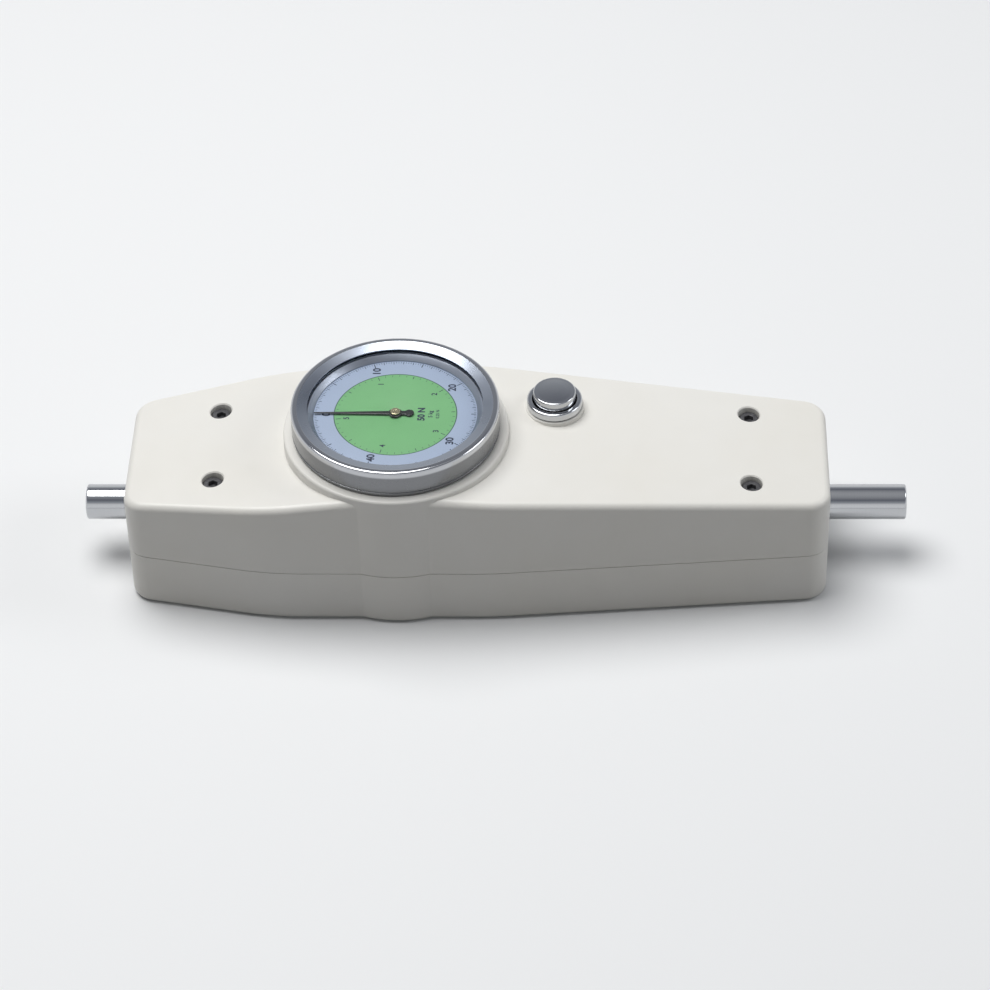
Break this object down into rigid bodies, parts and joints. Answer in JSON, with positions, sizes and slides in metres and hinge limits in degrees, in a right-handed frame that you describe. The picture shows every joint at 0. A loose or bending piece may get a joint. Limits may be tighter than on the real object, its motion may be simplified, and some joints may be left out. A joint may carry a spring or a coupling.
{
  "type": "push-pull force gauge",
  "caption": "Analogue push-pull force gauge: tapered two-shell case lying on its back, round dial in a turning bezel, polished rod right through, peak button.",
  "frame": {"origin": "under the middle of the rod, on the face that the back of the case rests on", "axes": "+X along the rod from the dial end to the grip end, +Z out of the dial, +Y across the case"},
  "size_m": [0.232, 0.063, 0.054],
  "materials": {
    "case_paint": "cream satin paint on die-cast alloy",
    "rod_chrome": "polished chrome",
    "bezel_chrome": "polished chrome",
    "steel": "turned steel",
    "spring_steel": "dark spring steel",
    "brass": "machined brass",
    "bush_metal": "turned steel, rim polished",
    "felt": "black felt",
    "alloy": "machined alloy",
    "dial_print": "printed dial: pale outer ring, green disc",
    "rubber": "black rubber",
    "crystal": "clear acrylic",
    "pointer_black": "black paint"
  },
  "bodies": {
    "case": {"front_shell": "case_paint", "rear_shell": "case_paint", "case_screw_1": "steel", "case_screw_2": "steel", "case_screw_3": "steel", "case_screw_4": "steel", "bracket_screw": "steel", "abutment_screw_left": "steel", "abutment_screw_right": "steel", "rod_bush_left": "bush_metal", "rod_bush_right": "bush_metal", "rod_wiper_left": "felt", "rod_wiper_right": "felt", "load_spring_left": "spring_steel", "load_spring_right": "spring_steel", "guide_bracket": "alloy", "abutment_left": "alloy", "abutment_right": "alloy", "hairspring": "spring_steel", "hairspring_stud": "brass", "movement_plate_lower": "brass", "movement_plate_upper": "brass", "base_pillar_1": "brass", "base_pillar_2": "brass", "base_pillar_3": "brass", "base_pillar_4": "brass", "upper_pillar_1": "brass", "upper_pillar_2": "brass", "upper_pillar_3": "brass", "plate_screw_1": "steel", "plate_screw_2": "steel", "plate_screw_3": "steel", "dial_ring": "alloy", "bezel_clip": "spring_steel", "button_cup": "rod_chrome", "button_nut": "brass", "button_spring": "spring_steel", "lever_bracket": "brass", "lever_pin": "steel"},
    "rod": {"measuring_rod": "rod_chrome", "spring_collar": "steel", "collar_pin": "steel", "stop_collar": "steel", "rack_carrier": "alloy", "rack": "brass", "rack_screw_1": "steel", "rack_screw_2": "steel"},
    "transfer_gear": {"transfer_pinion": "steel", "transfer_wheel": "brass"},
    "pointer": {"centre_pinion": "steel", "pointer": "pointer_black", "pointer_hub": "brass"},
    "bezel": {"bezel": "bezel_chrome", "dial_seat_ring": "alloy", "dial_plate": "dial_print", "crystal_gasket": "rubber", "crystal": "crystal"},
    "button": {"peak_button": "rod_chrome"},
    "lever": {"brake_lever": "steel"}
  },
  "joints": [
    {"name": "rod_slide", "type": "slide", "parent": "case", "child": "rod", "axis": [1, 0, 0], "range_m": [-0.01, 0.01], "stiffness_N_per_m": 5000, "deforming": ["load_spring_left", "load_spring_right"]},
    {"name": "transfer_spin", "type": "hinge", "parent": "case", "child": "transfer_gear", "pos_m": [-0.01178, 0.0016, 0.034], "axis": [0, 0, 1], "range_deg": [-137, 137]},
    {"name": "pointer_spin", "type": "hinge", "parent": "case", "child": "pointer", "pos_m": [-0.027, 0, 0.034], "axis": [0, 0, 1], "range_deg": [-361, 361], "deforming": ["hairspring"]},
    {"name": "bezel_turn", "type": "hinge", "parent": "case", "child": "bezel", "pos_m": [-0.027, 0, 0.0477], "axis": [0, 0, 1], "continuous": true},
    {"name": "peak_button_press", "type": "slide", "parent": "case", "child": "button", "axis": [0, 0, -1], "range_m": [0, 0.002], "stiffness_N_per_m": 400, "springref_m": -0.002, "deforming": ["button_spring"]},
    {"name": "brake_lever_tilt", "type": "hinge", "parent": "case", "child": "lever", "pos_m": [0.005, 0.008, 0.03145], "axis": [0, 1, 0], "range_deg": [0, 9.6]}
  ],
  "couplings": [
    {"joint": "transfer_spin", "follows": "rod_slide", "rad_per_m": 238.1},
    {"joint": "pointer_spin", "follows": "rod_slide", "rad_per_m": -629.25},
    {"joint": "brake_lever_tilt", "follows": "peak_button_press", "rad_per_m": 83.333}
  ]
}
